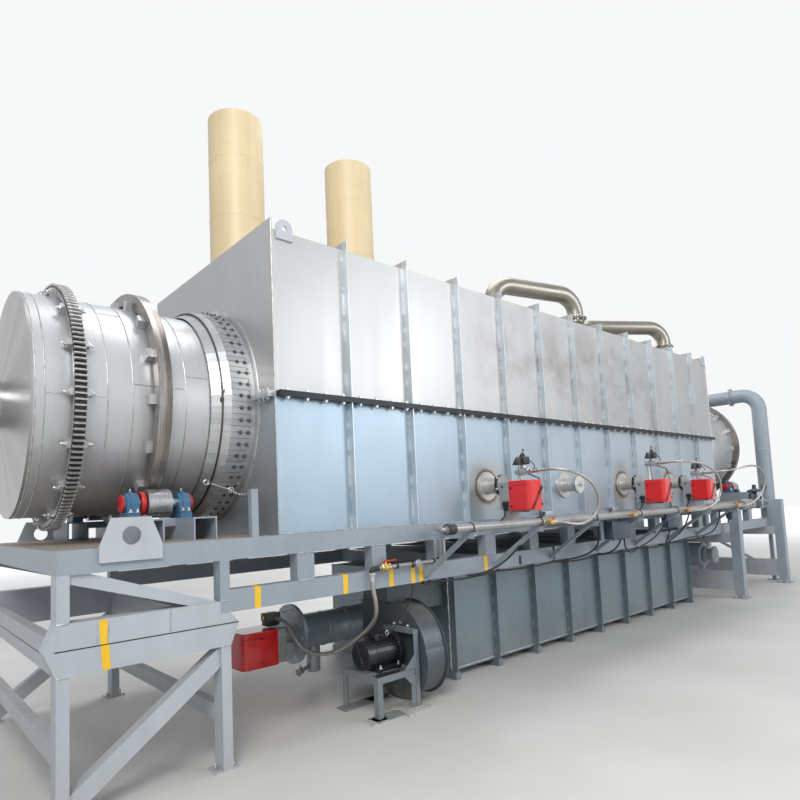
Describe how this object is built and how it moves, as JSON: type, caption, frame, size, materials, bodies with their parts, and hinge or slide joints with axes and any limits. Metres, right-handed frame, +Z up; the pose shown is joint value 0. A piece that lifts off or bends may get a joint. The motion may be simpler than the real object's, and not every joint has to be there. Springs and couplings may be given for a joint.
{
  "type": "continuous carbonization furnace",
  "caption": "Gas-fired rotary drum furnace in a ribbed sheet-steel casing, on a box-channel frame with burners, gas line, chimneys and fan.",
  "frame": {"origin": "underside of the middle foot bar of the lower box, on the vertical plane through the drum axis, at floor level", "axes": "+X along the drum from inlet to outlet, +Y away from the burner side, +Z up"},
  "size_m": [12.244, 3.5948, 5.3],
  "materials": {
    "bearing_blue": "gloss blue paint",
    "burner_grey": "grey casting",
    "burner_red": "gloss red enamel",
    "casing_sheet": "satin aluminium paint on sheet steel",
    "chamber_dark": "satin dark grey paint",
    "cream_cladding": "satin cream cladding",
    "deck_brown": "worn brownish sheet",
    "drum_steel": "satin aluminium paint",
    "frame_grey": "satin blue-grey paint",
    "hose_braid": "braided steel hose",
    "lower_box_sheet": "satin grey paint",
    "motor_black": "satin black paint",
    "pipe_silver": "satin aluminium paint on pipe",
    "stand_grey": "satin darker blue-grey paint",
    "valve_black": "satin black",
    "wire_dark": "greased wire rope",
    "worn_steel": "bare turned steel"
  },
  "bodies": {
    "plant": {"burner_bodies": "burner_grey", "burner_covers": "burner_red", "burner_hose_1": "hose_braid", "burner_hose_3": "hose_braid", "burner_hose_4": "hose_braid", "burner_ports": "pipe_silver", "casing_far_lower": "casing_sheet", "casing_far_upper": "casing_sheet", "casing_floor": "casing_sheet", "casing_inlet_lower": "casing_sheet", "casing_inlet_upper": "casing_sheet", "casing_near_lower": "casing_sheet", "casing_near_upper": "casing_sheet", "casing_outlet_lower": "casing_sheet", "casing_outlet_upper": "casing_sheet", "casing_roof": "casing_sheet", "chain_post": "frame_grey", "chamber_hose": "hose_braid", "chimney_1": "cream_cladding", "chimney_2": "cream_cladding", "combustion_chamber": "chamber_dark", "cross_beams": "frame_grey", "deck_sheets": "deck_brown", "fan_housing": "chamber_dark", "fan_motor": "motor_black", "fan_stand": "stand_grey", "frame_side_far": "frame_grey", "frame_side_near": "frame_grey", "gas_header": "pipe_silver", "gas_take_off": "pipe_silver", "gas_trains": "valve_black", "header_arms": "frame_grey", "inlet_stand_far": "frame_grey", "inlet_stand_near": "frame_grey", "lifting_plates": "frame_grey", "lower_box": "lower_box_sheet", "outlet_columns": "frame_grey", "outlet_hood": "drum_steel", "outlet_posts": "stand_grey", "roller_bases": "frame_grey", "roller_bearings": "bearing_blue", "roof_ducts": "pipe_silver", "seal_collars": "drum_steel", "seal_ropes": "wire_dark", "seal_scales": "drum_steel", "stand_ties": "frame_grey"},
    "drum": {"drum_shell": "drum_steel", "drum_inlet_end": "drum_steel", "drum_outlet_end": "drum_steel", "drum_inlet_neck": "drum_steel", "drum_outlet_neck": "drum_steel", "girth_gear": "worn_steel", "gear_brackets": "drum_steel", "riding_ring_inlet": "worn_steel", "riding_ring_outlet": "worn_steel", "ring_blocks": "drum_steel"},
    "roller_inlet_far": {"roller_inlet_far": "worn_steel"},
    "roller_inlet_near": {"roller_inlet_near": "worn_steel"},
    "roller_outlet_far": {"roller_outlet_far": "worn_steel"},
    "roller_outlet_near": {"roller_outlet_near": "worn_steel"}
  },
  "joints": [
    {"name": "drum_turn", "type": "hinge", "parent": "plant", "child": "drum", "pos_m": [0, 0, 2.468], "axis": [1, 0, 0], "continuous": true},
    {"name": "roller_inlet_far_turn", "type": "hinge", "parent": "plant", "child": "roller_inlet_far", "pos_m": [-5.245, 0.71293, 1.72974], "axis": [1, 0, 0], "continuous": true},
    {"name": "roller_inlet_near_turn", "type": "hinge", "parent": "plant", "child": "roller_inlet_near", "pos_m": [-5.245, -0.71293, 1.72974], "axis": [1, 0, 0], "continuous": true},
    {"name": "roller_outlet_far_turn", "type": "hinge", "parent": "plant", "child": "roller_outlet_far", "pos_m": [5.225, 0.71293, 1.72974], "axis": [1, 0, 0], "continuous": true},
    {"name": "roller_outlet_near_turn", "type": "hinge", "parent": "plant", "child": "roller_outlet_near", "pos_m": [5.225, -0.71293, 1.72974], "axis": [1, 0, 0], "continuous": true}
  ],
  "couplings": [
    {"joint": "roller_inlet_far_turn", "follows": "drum_turn", "ratio": -9.26},
    {"joint": "roller_inlet_near_turn", "follows": "drum_turn", "ratio": -9.26},
    {"joint": "roller_outlet_far_turn", "follows": "drum_turn", "ratio": -9.26},
    {"joint": "roller_outlet_near_turn", "follows": "drum_turn", "ratio": -9.26}
  ]
}
